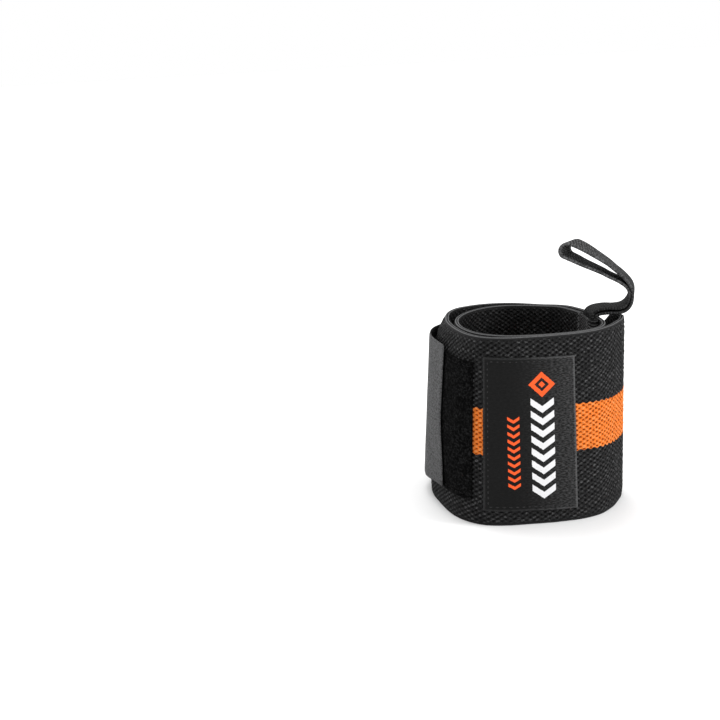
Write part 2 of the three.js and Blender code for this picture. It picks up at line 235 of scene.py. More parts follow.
# The faces of a closed tube of rings with the same count of points. A flat tube, whose rings go
# up one side and down the other, is closed by strips across it, and a round one by one face.
def tubeFaces(rings, count, start=0, flat=False):
    ring, point = np.meshgrid(np.arange(rings - 1), np.arange(count), indexing="ij")
    after = (point + 1) % count
    a = start + ring * count + point
    b = start + (ring + 1) * count + point
    c = start + (ring + 1) * count + after
    d = start + ring * count + after
    faces = np.stack([a, b, c, d], -1).reshape(-1, 4).tolist()
    last = start + (rings - 1) * count
    if flat:
        for i in range(count // 2 - 1):
            j = count - 1 - i
            faces.append((start + i, start + i + 1, start + j - 1, start + j))
            faces.append((last + j, last + j - 1, last + i + 1, last + i))
    else:
        faces.append(list(range(start, start + count)))
        faces.append(list(range(last + count - 1, last - 1, -1)))
    return faces


# A soft, even noise from a few crossing waves, each 4 to 9 units long.
def waveNoise(x, y, seed, waves=6):
    total = np.zeros(np.broadcast_shapes(np.shape(x), np.shape(y)))
    draw = np.random.default_rng(seed)
    for _ in range(waves):
        direction = draw.uniform(0, 2 * np.pi)
        rate = draw.uniform(0.7, 1.6)
        wave = rate * (np.cos(direction) * x + np.sin(direction) * y)
        total = total + np.sin(wave + draw.uniform(0, 2 * np.pi))
    return total / waves


# Materials

# One socket of a material, which takes part in sums as a number does.
class Field:
    def __init__(self, shader, socket):
        self.shader = shader
        self.socket = socket

    def math(self, operation, *others):
        inputs = dict(enumerate([self, *others]))
        return self.shader.add("ShaderNodeMath", {"operation": operation}, inputs)

    def flipped(self, operation, other):
        inputs = {0: other, 1: self}
        return self.shader.add("ShaderNodeMath", {"operation": operation}, inputs)

    def __add__(self, other):
        return self.math("ADD", other)

    def __radd__(self, other):
        return self.math("ADD", other)

    def __neg__(self):
        return self.math("MULTIPLY", -1)

    def __sub__(self, other):
        return self.math("SUBTRACT", other)

    def __rsub__(self, other):
        return self.flipped("SUBTRACT", other)

    def __mul__(self, other):
        return self.math("MULTIPLY", other)

    def __rmul__(self, other):
        return self.math("MULTIPLY", other)

    def __truediv__(self, other):
        return self.math("DIVIDE", other)

    def __rtruediv__(self, other):
        return self.flipped("DIVIDE", other)

    def smooth(self, low, high):
        inputs = {"Value": self, "From Min": low, "From Max": high}
        return self.shader.add("ShaderNodeMapRange", {"interpolation_type": "SMOOTHSTEP"}, inputs)

    def wave(self, length):
        return (self * (2 * np.pi / length)).math("COSINE")


# A material under construction: add() makes any node from its type, settings and sockets.
class Shader:
    def __init__(self, name):
        self.material = bpy.data.materials.new(name)
        self.material.use_nodes = True
        self.tree = self.material.node_tree
        self.tree.nodes.clear()

    def add(self, nodeType, settings, inputs, output=0):
        node = self.tree.nodes.new(nodeType)
        for key, value in settings.items():
            setattr(node, key, value)
        for key, value in inputs.items():
            if isinstance(value, Field):
                self.tree.links.new(value.socket, node.inputs[key])
            else:
                node.inputs[key].default_value = value
        return Field(self, node.outputs[output]) if len(node.outputs) else None

    def place(self):
        attribute = {"attribute_name": "clothPlace"}
        split = {"Vector": self.add("ShaderNodeAttribute", attribute, {}, "Vector")}
        return [self.add("ShaderNodeSeparateXYZ", {}, split, axis) for axis in "XYZ"]

    def noise(self, vector, scale, detail=2.0):
        inputs = {"Vector": vector, "Scale": scale, "Detail": detail}
        return self.add("ShaderNodeTexNoise", {}, inputs)

    def vector(self, x, y, z=0.0):
        return self.add("ShaderNodeCombineXYZ", {}, {"X": x, "Y": y, "Z": z})

    def blend(self, share, first, second):
        inputs = {0: share, 6: first, 7: second}
        return self.add("ShaderNodeMix", {"data_type": "RGBA"}, inputs, 2)

    def bump(self, height, depth):
        inputs = {"Height": height, "Distance": depth * metre, "Strength": 1.0}
        return self.add("ShaderNodeBump", {}, inputs)

    def finish(self, colour, roughness, specular=0.5, normal=None):
        inputs = {
            "Base Color": colour, "Roughness": roughness, "Specular IOR Level": specular
        }
        if normal:
            inputs["Normal"] = normal
        surface = self.add("ShaderNodeBsdfPrincipled", {}, inputs)
        self.add("ShaderNodeOutputMaterial", {}, {"Surface": surface})
        return self.material


def grey(level):
    return (level, level, level * 1.02, 1)


# The elastic band: two turns of one knit, black with an orange stripe.
bandLook = {
    "course": 2.9,  # length of two columns of loops
    "wale": 1.95,  # height of two rows of loops
    "relief": 0.85,  # depth of the pits between loops
    "stripeWidth": 18.8, "stripeScallop": 0.3, "stripeMiddle": 38.4,
    "stripeDrop": 1.5, "dropStart": 372, "dropEnd": 400,  # it sinks a little at the right
    # The crest colours are painted highlights on the loops, and the pit colours are painted shade
    # between them.
    "orange": (1.0, 0.21, 0.018, 1), "orangeCrestHighlight": (1.0, 0.43, 0.15, 1),
    "orangePitShade": (0.17, 0.02, 0.002, 1),
    "black": grey(0.0125), "blackCrestHighlight": grey(0.12), "blackPitShade": grey(0.0004),
    # The rim's colour is a painted highlight along the ridge of each rim.
    "selvedgeColour": grey(0.014), "rimHighlight": grey(0.12),
    "driftScale": 0.35, "strayScale": 1.1, "yarnScale": 2.6, "looseScale": 0.75,
    "plyLength": 0.62,  # length of one twist of the yarn
    "bump": 0.75, "roughness": 0.8, "specular": 0.12,
    "alongStep": 0.53, "upStep": 0.48, "hiddenStep": 4.0,
    "selvedge": 1.3, "rimHalf": 0.7, "groove": 0.2,
    "turnMeet": 347,  # the angle where the two turns meet, between layers
    "cornerEnd": 12.8, "cornerDrop": 8.3, "shoulderStart": 416.5, "shoulderEnd": 427.5,
}


def knitMaterial():
    look = bandLook
    shader = Shader("knit")
    along, up, edge = shader.place()
    cloth = shader.vector(along, up)
    # The stripe, with a scallop at each column of loops.
    scallop = look["stripeWidth"] / 2 + along.wave(look["course"]) * look["stripeScallop"]
    drop = along.smooth(look["dropStart"], look["dropEnd"]) * look["stripeDrop"]
    fromMiddle = (up + drop - look["stripeMiddle"]).math("ABSOLUTE")
    stripe = (fromMiddle - scallop).smooth(0.12, -0.12)
    # The loops: two crossing waves, pulled about, and less evenly outside the stripe.
    drift = shader.noise(cloth, look["driftScale"]) - 0.5
    stray = (shader.noise(cloth, look["strayScale"]) - 0.5) * (1.5 - stripe * 0.65)
    columns = (along + drift * 0.9 + stray).wave(look["course"])
    loops = columns * (up + drift * 0.7 + stray).wave(look["wale"])
    pit = loops.smooth(0.2, 0.8)
    crest = (-loops).smooth(-0.25, 0.85)
    # The yarn, a brightness of each loop's own, a painted highlight on the loops' crests and
    # painted shade in the pits between them.
    yarn = shader.noise(cloth, look["yarnScale"], 3.0)
    loose = shader.noise(cloth, look["looseScale"])
    column = (along / (look["course"] / 2)).math("ROUND")
    row = (up / (look["wale"] / 2)).math("ROUND")
    cell = {"Vector": shader.vector(column, row)}
    own = shader.add("ShaderNodeTexWhiteNoise", {"noise_dimensions": "2D"}, cell)
    bright = crest * loose.smooth(0.3, 0.62) * (0.25 + own * 0.95) * yarn.smooth(0.3, 0.6)
    black = shader.blend(bright, look["black"], look["blackCrestHighlight"])
    black = shader.blend(pit * yarn.smooth(0.15, 0.5), black, look["blackPitShade"])
    orangeHighlight = crest * yarn.smooth(0.2, 0.7) * (0.5 + own * 0.6)
    orange = shader.blend(orangeHighlight, look["orange"], look["orangeCrestHighlight"])
    orange = shader.blend(pit * yarn.smooth(0.2, 0.6), orange, look["orangePitShade"])
    colour = shader.blend(stripe, black, orange)
    # The selvedges are plain, with a painted highlight along the ridge of each rim.
    colour = shader.blend(edge.smooth(0.05, 0.45), colour, look["selvedgeColour"])
    ridgeHighlight = edge.smooth(0.6, 1.0) * (0.45 + yarn * 0.9)
    colour = shader.blend(ridgeHighlight, colour, look["rimHighlight"])
    twist = (along * 1.9 + up * 1.3 + drift * 2).wave(look["plyLength"])
    fine = (1 - pit) * 0.7 + twist * 0.18 + yarn * 0.7 + loose * 0.9 * (1 - stripe)
    height = fine * (1 - edge.smooth(0.05, 0.5) * 0.8)
    normal = shader.bump(height, look["bump"])
    return shader.finish(colour, look["roughness"], look["specular"], normal)


# The loops as real height: raised where they cross, with pits between them.
def knitRelief(along, up):
    look = bandLook
    drift = 0.5 * waveNoise(along * 0.9, up * 0.9, 4)
    columns = np.cos(2 * np.pi * (along + drift) / look["course"])
    loops = columns * np.cos(2 * np.pi * (up + drift) / look["wale"])
    pits = smoothstep(loops, 0.2, 1) * (0.75 + 0.5 * waveNoise(along * 1.3, up * 1.3, 17))
    return 0.3 * (1 - loops) - pits + 0.4 * waveNoise(along * 1.9, up * 1.9, 9)


# The band's ring goes up the outer face, over the rim, down the inner face and under the foot.
# Each point has a height, a distance out, an edge value and a knit amount.
def bandSection(outerStep, innerStep):
    width, inset = rollSizes["bandWidth"], bandLook["selvedge"]
    rimHalf, groove = bandLook["rimHalf"], bandLook["groove"]
    outer = np.linspace(inset, width - inset, int((width - 2 * inset) / outerStep) + 1)
    inner = np.linspace(width - inset, inset, int((width - 2 * inset) / innerStep) + 1)
    crest = [
        (-0.85, halfBand - 0.05, 0.4), (-0.35, halfBand - 0.02, 0.55), (-0.1, rimHalf, 0.9),
        (0, rimHalf - 0.2, 1), (-0.04, rimHalf - 0.42, 0.8), (-groove, 0.08, 0.3),
        (-groove, -0.08, 0.3), (-0.04, -rimHalf + 0.42, 0.8), (0, -rimHalf + 0.2, 1),
        (-0.1, -rimHalf, 0.9), (-0.35, -halfBand + 0.02, 0.55), (-0.85, -halfBand + 0.05, 0.4),
    ]  # height from the rim, distance out, edge value
    rows = [(height, halfBand, 0, 1) for height in outer]
    rows += [(width + drop, out, edge, 0) for drop, out, edge in crest]
    rows += [(height, -halfBand, 0, -1) for height in inner]
    rows += [(-drop, -out, edge, 0) for drop, out, edge in crest]
    return np.array(rows)


def bandTurn(name, fromLength, toLength, section, material):
    count = int((toLength - fromLength) / bandLook["alongStep"]) + 1
    lengths = np.linspace(fromLength, toLength, count)
    height, out, edge, knit = section.T
    width = rollSizes["bandWidth"]
    narrow = smoothstep(lengths, bandLook["shoulderStart"], bandLook["shoulderEnd"])[:, None]
    narrowed = mix(width, rollSizes["tabWidth"], narrow)
    corner = bandLook["cornerEnd"]
    cut = bandLook["cornerDrop"] * (1 - smoothstep(lengths, corner, corner + 1))[:, None]
    heights = (width - narrowed) / 2 + (narrowed - cut) * height / width
    calm = smoothstep(np.minimum(heights, width - heights), bandLook["selvedge"], 3)
    relief = knitRelief(lengths[:, None], heights) * calm
    outs = out + knit * bandLook["relief"] * (0.5 * relief + 0.1)
    points = bandPath.wall(lengths[:, None], heights, outs)
    place = np.stack(np.broadcast_arrays(lengths[:, None], heights, edge[None]), -1)
    faces = tubeFaces(count, len(section))
    return addPiece(name, points, faces, place, material, "elastic_band")


def makeBand():
    material = knitMaterial()
    meet = float(bandPath.lengthAt(bandLook["turnMeet"]))
    fine, plain = bandLook["upStep"], bandLook["hiddenStep"]
    end, width = rollSizes["bandLength"], rollSizes["bandWidth"] * metre
    first = bandTurn("elastic_band_inner_turn", 0, meet, bandSection(plain, fine), material)
    last = bandTurn("elastic_band_outer_turn", meet, end, bandSection(fine, plain), material)
    return last


bandPiece = makeBand()


# The label, the velour patch and the tab are flat sheets with a rounded edge. A sheet's start
# is along its path, its foot above the floor, and out is its middle's distance from the path.
# Skew lifts its far end, and endFoot, endTop and endLift slant that end. Its groove has a depth
# and a half width, and swell is the height of its soft waves.

# Where a place on a sheet lies on its path.
def onPath(sheet, along, up):
    share = along / sheet["length"]
    ending = smoothstep(share, 0.75, 1)
    high = up / sheet["width"]
    reach = mix(sheet["endFoot"], 0, smoothstep(high, 0, 0.6)) + sheet["endTop"] * high ** 2
    lengths = sheet["start"] + along + reach * ending
    lift = sheet["endLift"] * smoothstep(share, 0.8, 1) * (1 - smoothstep(high, 0, 0.5))
    return lengths, sheet["foot"] + up + sheet["skew"] * share + lift


# A sheet on a path, whose outer face is lifted by relief(along, up).
def sheetPiece(name, path, sheet, relief, material, replaces):
    step, half = sheet["step"], sheet["thickness"] / 2
    lengths = np.linspace(0, sheet["length"], int(sheet["length"] / step) + 1)
    ups = np.linspace(0, sheet["width"], int(sheet["width"] / step) + 1)
    up = np.concatenate([ups, ups[::-1]])
    side = np.repeat([1.0, -1.0], len(ups))
    nearest = np.minimum(up, sheet["width"] - up)[None]
    fromEnd = np.minimum(lengths, sheet["length"] - lengths)[:, None]
    rounding = smoothstep(np.minimum(nearest, fromEnd), -0.2, sheet["round"])
    lift = relief(lengths[:, None], up[None]) * (side[None] > 0) * rounding
    outs = sheet["out"] + side[None] * half * mix(0.35, 1, rounding) + lift
    points = path.wall(*onPath(sheet, lengths[:, None], up[None]), outs)
    outer = np.maximum(side, 0)[None]
    place = np.stack(np.broadcast_arrays(lengths[:, None], up[None], outer), -1)
    faces = tubeFaces(len(lengths), len(up), flat=True)
    return addPiece(name, points, faces, place, material, replaces)


# The groove that a row of stitches pulls into a sheet, at a distance from its edge.
def seamGroove(sheet, inset):
    depth, half = sheet["groove"]
    return -depth * np.exp(-(((inset - sheet["seam"]) / half) ** 2))


# Stitches lie on a path as rounded grains between pairs of (along, up) places. Each is thick
# in the middle, and sinks into the cloth at its ends.
def stitchPiece(name, path, sheet, pairs, thread, material):
    points, place, faces = [], [], []
    lift = sheet["out"] + sheet["thickness"] / 2
    ringShape = [(np.cos(turn), np.sin(turn)) for turn in np.linspace(0, 2 * np.pi, 7)[:-1]]
    for first, last in pairs:
        heading = (last - first) / np.linalg.norm(last - first)
        across = np.array([-heading[1], heading[0]])
        start = len(points)
        for share in (0, 0.12, 0.5, 0.88, 1):
            swell = thread["half"] * (0.35 + 0.65 * np.sin(np.pi * share) ** 0.5)
            sink = thread["sink"] * abs(2 * share - 1) ** 2
            for x, y in ringShape:
                along, up = mix(first, last, share) + across * x * swell
                points.append((along, up, lift + y * swell * 0.7 - sink))
                place.append((along * 3, up * 3, 1))  # finer fibres than a cloth's
        faces += tubeFaces(5, 6, start)
    raised = np.array(points)
    wall = path.wall(*onPath(sheet, raised[:, 0], raised[:, 1]), raised[:, 2])
    return addPiece(name, wall, faces, place, material, None)


def laySheet(sheet, trim):
    flat = (sheet["width"] * metre, sheet["length"] * metre)


# Pairs of places for a straight row of stitches.
def stitchRow(first, last, pitch, share=0.68):
    first, last = np.array(first, float), np.array(last, float)
    length = np.linalg.norm(last - first)
    count = max(1, round(length / pitch))
    cuts = np.linspace(0, 1, count + 1)
    return [
        (mix(first, last, a), mix(first, last, a + (b - a) * share))
        for a, b in zip(cuts[:-1], cuts[1:])
    ]


def threadMaterial(name, level):
    shader = Shader(name)
    along, up, edge = shader.place()
    fibre = shader.noise(shader.vector(along, up, edge), 1.6)
    colour = shader.blend(fibre.smooth(0.3, 0.7), grey(level * 0.6), grey(level * 1.3))
    return shader.finish(colour, 0.7, 0.15, shader.bump(fibre, 0.1))


labelSheet = {
    "length": 34.7, "width": 62.2, "thickness": 0.5, "step": 0.6, "round": 0.8,
    "start": rollSizes["bandLength"] - rollSizes["labelFromEnd"] - rollSizes["labelLength"] - 1.3,
    "foot": 6.4, "out": 1.35,
    "skew": -1.0, "endFoot": 0, "endTop": 0, "endLift": 0,
    "seam": 1.7, "groove": (0.16, 0.5), "swell": 0.12, "puff": 0.12,
    "stitch": 2.3, "thread": {"half": 0.2, "sink": 0.25},
    "black": grey(0.001), "blackLight": grey(0.004), "blackSheen": grey(0.046),
    "white": (0.7, 0.7, 0.71, 1), "orange": (0.82, 0.1, 0.02, 1), "fold": grey(0.06),
    "sheenStart": 10, "sheenEnd": 36,  # lighter to the right, where the satin faces the light
    "printWave": 0.35,  # how far the print's edges stray
    "whiteColumn": {
        "middle": 21.6, "half": 4.5, "slope": 0.75, "pitch": 5, "bar": 0.54, "barEdge": 0.02,
        "centre": 23.9, "reach": 19.5,
    },
    "orangeColumn": {
        "middle": 10.6, "half": 2.2, "slope": 0.7, "pitch": 3, "bar": 0.43, "barEdge": 0.03,
        "centre": 23.2, "reach": 14.7,
    },
    "diamond": {"middle": 21.6, "high": 51.4, "half": 5.1, "hole": 2.8, "heart": 1.3},
}


# A column of chevrons up the label, as a mask.
def chevrons(along, up, column):
    aside = (along - column["middle"]).math("ABSOLUTE")
    slant = up - aside * column["slope"]
    bar, edge = column["bar"], column["barEdge"]
    bars = (slant / column["pitch"]).math("FRACT").smooth(bar + edge, bar - edge)
    within = aside.smooth(column["half"], column["half"] - 0.15)
    fromCentre = (slant - column["centre"]).math("ABSOLUTE")
    return bars * within * fromCentre.smooth(column["reach"], column["reach"] - 0.1)


# The print: a column of white chevrons, a thin orange one beside it and an orange diamond.
def labelMaterial():
    look = labelSheet
    shader = Shader("label satin")
    along, up, edge = shader.place()
    cloth = shader.vector(along, up)
    thread = shader.noise(shader.vector(along * 0.35, up), 2.4)
    # Painted sheen: the satin's lighter threads grow lighter to the right.
    sheen = along.smooth(look["sheenStart"], look["sheenEnd"])
    light = shader.blend(sheen, look["blackLight"], look["blackSheen"])
    colour = shader.blend(thread.smooth(0.35, 0.7), look["black"], light)
    halfLength, halfWidth = look["length"] / 2, look["width"] / 2
    nearEnd = halfLength - (along - halfLength).math("ABSOLUTE")
    nearSide = halfWidth - (up - halfWidth).math("ABSOLUTE")
    inset = nearEnd.math("MINIMUM", nearSide)
    # Painted sheen along the folded edge, stronger to the right.
    fold = inset.smooth(1.0, 0.5) * thread.smooth(0.2, 0.6) * (0.3 + sheen * 0.7)
    colour = shader.blend(fold, colour, look["fold"])
    stray = (shader.noise(cloth, 1.3) - 0.5) * look["printWave"]
    white = chevrons(along + stray, up + stray, look["whiteColumn"])
    thin = chevrons(along + stray, up + stray, look["orangeColumn"])
    shape = look["diamond"]
    aside = (along - shape["middle"] + stray).math("ABSOLUTE")
    fromHeart = aside + (up - shape["high"] + stray).math("ABSOLUTE")
    ring = fromHeart.smooth(shape["half"] + 0.1, shape["half"] - 0.1)
    ring = ring * fromHeart.smooth(shape["hole"] - 0.1, shape["hole"] + 0.1)
    heart = fromHeart.smooth(shape["heart"] + 0.1, shape["heart"] - 0.1)
    orange = thin.math("MAXIMUM", ring).math("MAXIMUM", heart)
    worn = shader.noise(cloth, 3.0).smooth(0.22, 0.34)
    colour = shader.blend(orange * worn, colour, look["orange"])
    colour = shader.blend(white * worn, colour, look["white"])
    ribs = up.wave(0.5) * 0.3 + thread + white.math("MAXIMUM", orange) * 0.4
    return shader.finish(colour, 0.5, 0.13, shader.bump(ribs, 0.1))


def makeLabel():
    look = labelSheet

    def relief(along, up):
        nearEnd = np.minimum(along, look["length"] - along)
        inset = np.minimum(nearEnd, np.minimum(up, look["width"] - up))
        swell = look["swell"] * waveNoise(along * 0.28, up * 0.28, 12)
        return seamGroove(look, inset) + swell + look["puff"]

    satin = labelMaterial()
    label = sheetPiece("label_patch_cloth", bandPath, look, relief, satin, "label_patch")
    seam = look["seam"]
    far, high = look["length"] - seam, look["width"] - seam
    corners = [(seam, seam), (far, seam), (far, high), (seam, high)]
    pairs = []
    for corner, following in zip(corners, corners[1:] + corners[:1]):
        pairs += stitchRow(corner, following, look["stitch"])
    material = threadMaterial("label thread", 0.03)
    name = "label_patch_stitches"
    stitches = stitchPiece(name, bandPath, look, pairs, look["thread"], material)
    laySheet(look, [stitches])


makeLabel()


patchSheet = {
    "length": 75.2, "width": 56, "thickness": 1.0, "step": 0.5, "round": 1.0,
    "start": rollSizes["bandLength"] - rollSizes["labelFromEnd"] - rollSizes["labelLength"]
    - rollSizes["labelPatchGap"] - rollSizes["patchLength"], "foot": 10, "out": 1.6,
    "skew": 0, "endFoot": 0, "endTop": 0, "endLift": 0,
    "seam": 1.8, "groove": (0.3, 0.8), "swell": 0.14, "nap": 0.16,
    "stitch": 2.6, "stitchStart": 0.8, "thread": {"half": 0.2, "sink": 0.3},
    "tufts": 9000, "tuftStart": 30, "tuftSpill": 0.4, "tuftLean": 0.4,
    "tuftHeight": 0.75, "tuftHalf": 0.09, "tuftRoot": 0.2,
    "pile": grey(0.0015), "pileLight": grey(0.02),
}


def velourMaterial():
    look = patchSheet
    shader = Shader("velour")
    along, up, edge = shader.place()
    cloth = shader.vector(along, up, edge)
    pile = shader.noise(cloth, 1.5, 4.0)
    brushed = shader.noise(cloth, 0.22)
    mask = pile.smooth(0.42, 0.72) * (0.35 + brushed)
    colour = shader.blend(mask, look["pile"], look["pileLight"])
    return shader.finish(colour, 1.0, 0.02, shader.bump(pile + brushed * 0.6, 0.5))


# The tufts: thin three-sided spikes over the part that the tab leaves bare.
def makeTufts(material):
    look = patchSheet
    draw = np.random.default_rng(7)
    count, half = look["tufts"], look["tuftHalf"]
    spill, lean = look["tuftSpill"], look["tuftLean"]
    along = draw.uniform(look["tuftStart"], look["length"] + spill, count)
    up = draw.uniform(-spill, look["width"] + spill, count)
    tall = look["tuftHeight"] * draw.uniform(0.3, 1, count)
    leanAlong, leanUp = draw.normal(0, lean, count), draw.normal(0, lean, count)
    spin = draw.uniform(0, np.pi, count)
    base = look["out"] + look["thickness"] / 2 - look["tuftRoot"]
    rows = []
    for turn in (0, 2 * np.pi / 3, 4 * np.pi / 3):
        x = along + half * np.cos(spin + turn)
        y = up + half * np.sin(spin + turn)
        rows.append(np.stack([x, y, np.full(count, base)], -1))
    rows.append(np.stack([along + leanAlong, up + leanUp, base + tall], -1))
    tufts = np.stack(rows, 1).reshape(-1, 3)
    wall = bandPath.wall(look["start"] + tufts[:, 0], look["foot"] + tufts[:, 1], tufts[:, 2])
    first = np.arange(count)[:, None] * 4
    corners = np.array([(0, 1, 3), (1, 2, 3), (2, 0, 3), (0, 2, 1)]).ravel()
    faces = (first + corners).reshape(-1, 3).tolist()
    return addPiece("loop_patch_tufts", wall, faces, tufts * (1, 1, 0), material, None)


def makePatch():
    look = patchSheet

    def relief(along, up):
        nap = look["nap"] * waveNoise(along * 1.9, up * 1.9, 21)
        swell = look["swell"] * waveNoise(along, up, 22)
        return seamGroove(look, np.minimum(up, look["width"] - up)) + nap + swell

    material = velourMaterial()
    name = "loop_patch_velour"
    patch = sheetPiece(name, bandPath, look, relief, material, "loop_patch")
    pile = makeTufts(material)
    pairs = []
    for up in (look["seam"], look["width"] - look["seam"]):
        pairs += stitchRow((look["stitchStart"], up), (look["length"], up), look["stitch"])
    dark = threadMaterial("patch thread", 0.004)
    name = "loop_patch_stitches"
    stitches = stitchPiece(name, bandPath, look, pairs, look["thread"], dark)
    laySheet(look, [pile, stitches])
    return patch


patchPiece = makePatch()


tabSheet = {
    "length": 126, "width": 62, "thickness": 1.0, "step": 1.0, "round": 0.7,
    "start": 0, "foot": 7, "out": 0, "skew": 0, "endFoot": 5.5, "endTop": 2.0, "endLift": 3.4,
    "hookPitch": 1.5, "hookTall": 0.7, "hookHalf": 0.14, "hookBend": 0.6, "hookRoot": 0.1,
    "hooksPastLap": 6, "hookMargin": 1.5, "seam": 1.4, "groove": (0.08, 0.4), "swell": 0.1,
    "lapSeams": (1.6, 3.4, 7.4), "lapInset": 2, "stitch": 2.4,
    "thread": {"half": 0.22, "sink": 0.25},
    "cloth": grey(0.012), "clothLight": grey(0.112), "inside": grey(0.004),
}


def tabMaterial():
    look = tabSheet
    shader = Shader("hook tape back")
    along, up, face = shader.place()
    tilt = (along + up) * 0.61  # a slanted cut through the noise, clear of its grid
    cloth = shader.vector(along, up, tilt)
    grain = shader.noise(cloth, 1.2, 4.0)
    fibre = shader.noise(shader.vector(along * 0.7, up, tilt), 3.4)
    cloud = shader.noise(cloth, 0.06, 1.0)
    weave = (along + grain).wave(0.8) * (up + grain).wave(0.8)
    share = grain.smooth(0.34, 0.64) * 0.6 + fibre.smooth(0.34, 0.66) * 0.3
    share = share + cloud.smooth(0.2, 0.8) * 0.1 + weave * 0.06
    colour = shader.blend(share, look["cloth"], look["clothLight"])
    colour = shader.blend(face.smooth(0.4, 0.6), look["inside"], colour)
    normal = shader.bump(weave * 0.15 + grain * 0.5 + fibre * 0.6, 0.2)
    return shader.finish(colour, 0.8, 0.15, normal)


# The hooks: short bent pegs with four sides, on the tab's inner face.
def makeHooks(material):
    look = tabSheet
    firstAlong, margin = rollSizes["seamLap"] + look["hooksPastLap"], look["hookMargin"]
    alongs = np.arange(firstAlong, look["length"] - margin, look["hookPitch"])
    ups = np.arange(margin, look["width"] - margin, look["hookPitch"])
    along, up = [grid.ravel() for grid in np.meshgrid(alongs, ups, indexing="ij")]
    base = look["out"] - look["thickness"] / 2 + look["hookRoot"]
    half = look["hookHalf"]
    rows = []
    for depth, bend in ((0, 0), (0.75, 0.05), (1, 0.4)):
        for dx, dy in ((-half, -half), (half, -half), (half, half), (-half, half)):
            shrink = 1 - 0.5 * depth
            x = along + dx * shrink + bend * look["hookBend"]
            out = np.full(len(along), base - look["hookTall"] * depth)
            rows.append(np.stack([x, up + dy * shrink, out], -1))
    pegs = np.stack(rows, 1).reshape(-1, 3)
    wall = tabPath.wall(*onPath(look, pegs[:, 0], pegs[:, 1]), pegs[:, 2])
    faces = []
    for start in range(0, len(pegs), 12):
        faces += tubeFaces(3, 4, start)
    return addPiece("hook_tab_hooks", wall, faces, pegs * (1, 1, 0), material, None)


def makeTab():
    look = tabSheet

    def relief(along, up):
        swell = look["swell"] * waveNoise(along * 0.2, up * 0.25, 31)
        return seamGroove(look, np.minimum(up, look["width"] - up)) + swell

    material = tabMaterial()
    tab = sheetPiece("hook_tab_tape", tabPath, look, relief, material, "hook_tab")
    low, high = look["lapInset"], look["width"] - look["lapInset"]
    first, last = look["lapSeams"][0], look["lapSeams"][-1]
    pairs = []
    for along in look["lapSeams"]:
        pairs += stitchRow((along, low), (along, high), look["stitch"])
    for up in (low, high):
        pairs += stitchRow((first, up), (last, up), look["stitch"])
    dark = threadMaterial("tab thread", 0.02)
    name = "hook_tab_stitches"
    stitches = stitchPiece(name, tabPath, look, pairs, look["thread"], dark)
    laySheet(look, [stitches, makeHooks(material)])


makeTab()


# The hem at the band's inner end: a binding folded over both faces, with a zigzag seam.
hemLook = {
    "length": 15, "thickness": 0.6, "step": 0.55, "bendSteps": 12, "weave": 0.1,
    "half": 1.75, "flatHalf": 1.25,  # from the band's middle, beside the loop's root and below
    "cloth": grey(0.006), "clothLight": grey(0.09), "thread": grey(0.13),
    "chevron": 2.2, "chevronPitch": 1.3, "seams": (2.4, 13.4), "stitch": 2.5,
    "rootLow": 58, "rootHigh": 70, "shift": 0.65,  # it swells outwards below the loop's root
}


def hemMaterial():
    look = hemLook
    shader = Shader("hem binding")
    along, up, face = shader.place()
    fibre = shader.noise(shader.vector(along, up, face), 1.8, 3.0)
    zigzag = (along / look["chevron"]).math("PINGPONG", 1.0)
    chevron = ((up + zigzag * 1.6) / look["chevronPitch"]).math("FRACT").smooth(0.6, 0.35)
    light = chevron * fibre.smooth(0.3, 0.6)
    colour = shader.blend(light, look["cloth"], look["clothLight"])
    dashes = (up / look["stitch"]).math("FRACT").smooth(0.78, 0.7)
    near, far = [(along - seam).math("ABSOLUTE").smooth(0.42, 0.2) for seam in look["seams"]]
    seam = dashes * near.math("MAXIMUM", far)
    colour = shader.blend(seam, colour, look["thread"])
    normal = shader.bump(chevron * 0.7 + fibre + seam * 1.2, 0.35)
    return shader.finish(colour, 0.85, 0.12, normal)


def makeHem():
    look = hemLook
    legs = np.linspace(look["length"], 0, int(look["length"] / look["step"]) + 1)
    bends = np.linspace(0, np.pi, look["bendSteps"])[1:-1]
    along = np.concatenate([legs, -np.sin(bends), legs[::-1]])
    side = np.concatenate([-np.ones(len(legs)), -np.cos(bends), np.ones(len(legs))])
    turn = np.concatenate([np.zeros(len(legs)), np.sin(bends), np.zeros(len(legs))])
    width = rollSizes["bandWidth"]
    ups = np.linspace(0, width, int(width / look["step"]) + 1)
    up = np.concatenate([ups, ups[::-1]])
    face = np.concatenate([np.ones(len(ups)), -np.ones(len(ups))])
    swell = smoothstep(up, look["rootLow"], look["rootHigh"])
    half = mix(look["flatHalf"], look["half"], swell)
    edge = smoothstep(np.minimum(up, width - up), -0.1, 0.6)
    cloth = 0.5 * look["thickness"] * face * mix(0.4, 1, edge)
    weave = look["weave"] * waveNoise(along[:, None] * 2.4, up[None] * 2.4, 41)
    reach = half[None] + cloth[None] + weave * (face[None] > 0)
    outs = side[:, None] * reach + look["shift"] * swell[None]
    alongs = np.where(turn[:, None] > 0, -turn[:, None] * reach, along[:, None])
    points = bandPath.wall(alongs, up[None], outs)
    place = np.stack(np.broadcast_arrays(np.abs(along)[:, None], up[None], face[None]), -1)
    faces = tubeFaces(len(along), len(up), flat=True)
    name, material = "end_binding_hem", hemMaterial()
    hem = addPiece(name, points, faces, place, material, "end_binding")


makeHem()


